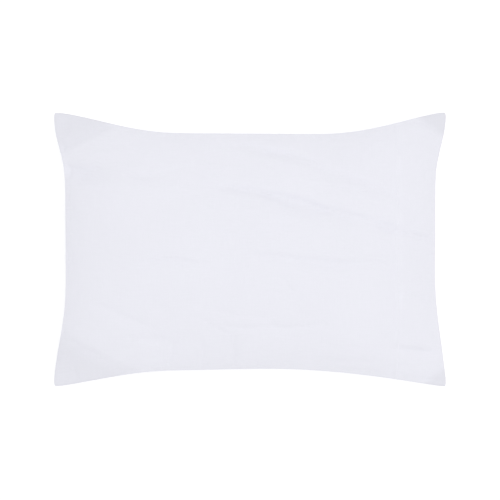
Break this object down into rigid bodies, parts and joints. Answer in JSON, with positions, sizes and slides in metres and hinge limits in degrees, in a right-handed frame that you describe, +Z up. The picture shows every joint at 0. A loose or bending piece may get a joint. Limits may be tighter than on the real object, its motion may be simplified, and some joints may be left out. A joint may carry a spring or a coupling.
{
  "type": "pillowcase",
  "caption": "Plain white pillowcase filled by a bed pillow, with a crowned face, drawn-in sides, small corner ears and a deep hem at its open end.",
  "frame": {"origin": "on the surface that the case lies on, under the middle of its bounding box", "axes": "+X towards the open, hemmed end, +Y towards the upper long side of the face, +Z up out of the face"},
  "size_m": [0.7076, 0.4936, 0.1683],
  "materials": {
    "cotton": "matt plain-woven white cotton, faintly cool"
  },
  "bodies": {
    "root": {"pillowcase": "cotton"}
  },
  "joints": []
}
